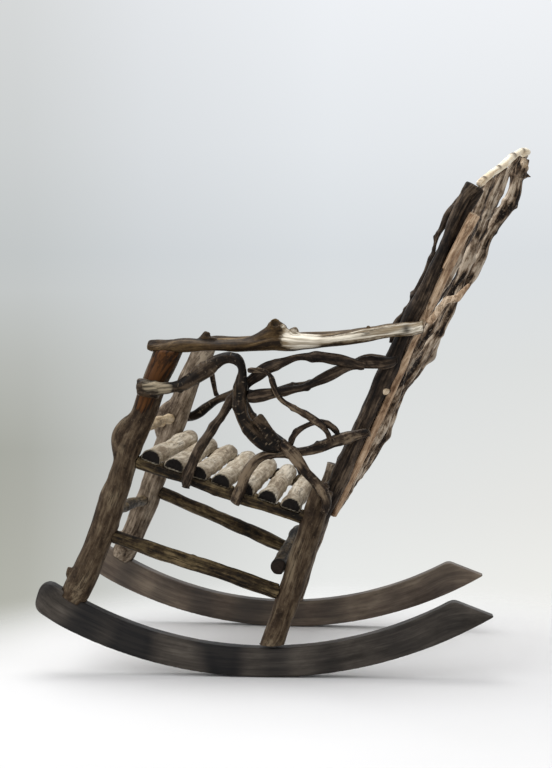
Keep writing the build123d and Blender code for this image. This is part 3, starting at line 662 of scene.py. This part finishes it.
def wander(place, kink, shift):
    """Bend a stick sideways along its length, and not at its ends."""
    low = place.length.min()
    total = place.length.max() - low
    sway = kink * MM * np.sin(math.pi * np.clip((place.length - low) / total, 0, 1))
    run = np.column_stack([place.length, place.length * 0, place.length * 0])
    slide, slip = [
        rumple(run, SWAY_WAVES, shift + broad) + FINE_SWAY * rumple(run, FINE_SWAY_WAVES, shift + fine)
        for broad, fine in SWAY_SHIFTS]
    return place.first * (sway * slide)[:, None] + place.second * (sway * slip)[:, None]


def store(mesh, name, values):
    """Keep a number or a vector per vertex on a mesh."""
    kind, field = ("FLOAT", "value") if values.ndim == 1 else ("FLOAT_VECTOR", "vector")
    layer = mesh.attributes.new(name, kind, "POINT")
    layer.data.foreach_set(field, np.ascontiguousarray(values, np.float32).ravel())


def dress(node, slot, number):
    """Replace one node by a natural stick of the same place and size."""
    form = dict(zip(FORM_FIELDS, FORMS[slot]))
    shift = STICK_SHIFT * number
    piece = even_mesh(node, form["voxel"])
    mesh = piece.data
    edges = read(mesh, "edges", "vertices", 2, np.int32)
    points = ease(read(mesh, "vertices", "co", 3, np.float32).astype(float), edges, form["rounds"])
    mesh.vertices.foreach_set("co", points.astype(np.float32).ravel())
    mesh.update()
    normals = read(mesh, "vertices", "normal", 3, np.float32).astype(float)
    place = along_line(points, centre_line(points, edges))
    length = place.length
    grain = np.column_stack([place.across, length])

    facing = np.abs((normals * place.way).sum(1))
    reach = np.minimum(length - length.min(), length.max() - length)
    cut = np.clip((facing - CUT_FACING) / CUT_BLEND, 0, 1) * (reach < CUT_REACH)
    lump = rumple(grain, LUMP_WAVES, shift)
    ridge = rumple(grain, RIDGE_WAVES, shift + RIDGE_SHIFTS[0])
    ridge = ridge + FINE_RIDGE * rumple(grain, FINE_RIDGE_WAVES, shift + RIDGE_SHIFTS[1])
    rise = form["lump"] * lump + form["ridge"] * ridge
    fields = {kind: np.zeros(len(points)) for kind in ("knot", "hole", "stain", "soft")}
    if form["bands"]:
        slant = grain + grain[:, [2, 2, 0]] * (0, 0, BAND_SLANT)
        bands = np.clip(BAND_LEVEL + BAND_CONTRAST * rumple(slant, BAND_WAVES, shift + BAND_SHIFT), 0, 1)
        fields["stain"] = bands * np.interp(points[:, 0], *BAND_FADE)
    grow_knots(form, place, random.Random(number), rise, fields)
    for kind, size, height, path in MARKS.get(node, ()):
        spot = np.exp(-(gap_to(points, path) / (size * MM)) ** 2)
        rise += height * spot
        fields[kind] = np.maximum(fields[kind], spot)

    if fields["soft"].any():
        points = soften(points, edges, fields["soft"], SOFT_ROUNDS)
    rounding = np.clip(END_SOFTNESS - END_FADE * reach / max(form["curl"] * MM, MM), 0, 1)
    points = soften(points, edges, rounding, form["curl"] * ROUNDS_PER_CURL)
    if node in GIRTHS:
        heights, front, rear = GIRTHS[node]
        depth = place.first[:, 0] * place.across[:, 0] + place.second[:, 0] * place.across[:, 1]
        depth = np.clip(depth, *GIRTH_DEPTH)
        share = [np.interp(points[:, 2], heights, half) for half in (front, rear)]
        points[:, 0] += depth * np.where(depth < 0, share[0], share[1])
    points = points + normals * (rise * (1 - cut) * MM)[:, None]
    points = points + wander(place, form["kink"], shift)
    points[:, 2] = np.maximum(points[:, 2], LOWEST.get(node, 0))
    mesh.vertices.foreach_set("co", points.astype(np.float32).ravel())

    store(mesh, "grain", grain)
    store(mesh, "seed", np.full(len(points), shift % SEED_SPAN))
    # The height darkens the hollows in the wood's tone, partly as painted shade, and lightens the tops as
    # wear.
    store(mesh, "height", np.clip(LUMP_SHADE_AND_WEAR * lump + RIDGE_SHADE_AND_WEAR * ridge, -1, 1))
    store(mesh, "cut", cut)
    store(mesh, "knot", fields["knot"])
    store(mesh, "crack", fields["hole"])
    store(mesh, "stain", fields["stain"])
    mesh.materials.clear()
    mesh.materials.append(materials[LOOK_OF.get(node, slot)])
    mesh.shade_smooth()
    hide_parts(node)
    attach(piece, BODY)


def floor_material():
    """Pale seamless paper that fades into the background."""
    g = Graph(bpy.data.materials.new("floor_paper"))
    place = g.add("TexCoord").outputs["Object"]
    distance = g.add("VectorMath", {0: place, 1: FADE_MIDDLE}, operation="DISTANCE").outputs["Value"]
    tint = g.add("TexNoise", {"Vector": place, "Scale": PAPER_SCALE, "Detail": 2.0}).outputs[0]
    paper = g.add("BsdfDiffuse", {"Color": g.ramp(tint, *PAPER)})
    clear = g.add("BsdfTransparent")
    fade = g.spread(distance, *FADE_SPAN)
    surface = g.add("MixShader", {0: fade, 1: paper.outputs[0], 2: clear.outputs[0]})
    g.add("OutputMaterial", {"Surface": surface.outputs[0]})
    return g.owner


def floor():
    """Lay a round pale floor under the chair."""
    mesh = bpy.data.meshes.new("floor")
    shape = bmesh.new()
    bmesh.ops.create_circle(shape, cap_ends=True, segments=FLOOR_SIDES, radius=FLOOR_RADIUS)
    shape.to_mesh(mesh)
    shape.free()
    sheet = bpy.data.objects.new("floor", mesh)
    sheet.location.z = -FLOOR_DROP
    scene.collection.objects.link(sheet)
    mesh.materials.append(floor_material())


def lamp(name, place, target, size, power):
    """Hang a soft square lamp that looks at a point."""
    data = bpy.data.lights.new(name, "AREA")
    data.size = size
    data.energy = power
    light = bpy.data.objects.new(name, data)
    light.location = place
    light.rotation_euler = (Vector(target) - Vector(place)).to_track_quat("-Z", "Y").to_euler()
    scene.collection.objects.link(light)


def backdrop():
    """Light the chair evenly, and show a pale backdrop with painted light and shade behind it and in its
    gloss.
    """
    scene.world = bpy.data.worlds.new("studio")
    g = Graph(scene.world)
    axes = g.add("SeparateXYZ", {0: g.add("TexCoord").outputs["Generated"]}).outputs
    sky = g.ramp(g.share(axes[2], *RISE_SPAN), *SKY)
    # Painted shade: a darker band to the left of the backdrop, strongest at middle heights.
    side = g.ramp(g.share(axes[0], *SIDE_SPAN), *SIDE_SHADE)
    side_shade_share = g.ramp(g.share(axes[2], *RISE_SPAN), *SIDE_SHADE_STRENGTH)
    shown = g.add("Background", {"Color": g.mix(side_shade_share, sky, side, "MULTIPLY"), "Strength": 1.0})
    light = g.add("Background", {"Color": (1.0, 1.0, 1.0, 1.0), "Strength": WORLD_LIGHT})
    ray = g.add("LightPath").outputs
    seen = g.math("MAXIMUM", ray["Is Glossy Ray"], ray["Is Transmission Ray"])
    seen = g.math("MAXIMUM", ray["Is Camera Ray"], seen)
    surface = g.add("MixShader", {0: seen, 1: light.outputs[0], 2: shown.outputs[0]})
    g.add("OutputWorld", {"Surface": surface.outputs[0]})


def studio():
    """Set up the backdrop, the lamps and the camera."""
    backdrop()
    for name, settings in LAMPS.items():
        lamp(name, *settings)
    data = bpy.data.cameras.new("camera")
    data.lens = LENS
    camera = bpy.data.objects.new("camera", data)
    camera.location = CAMERA_PLACE
    camera.rotation_euler = [math.radians(turn) for turn in CAMERA_TURN]
    scene.collection.objects.link(camera)
    scene.camera = camera
    scene.view_settings.view_transform = "Standard"


materials = {name: wood(name, look) for name, look in LOOKS.items()}
slots = {part["node"]: part["material_slot"] for part in frame["record"]["subparts"]}
for number, node in enumerate(sorted(frame["nodes"])):
    dress(node, slots[node], number + 1)
floor()
studio()
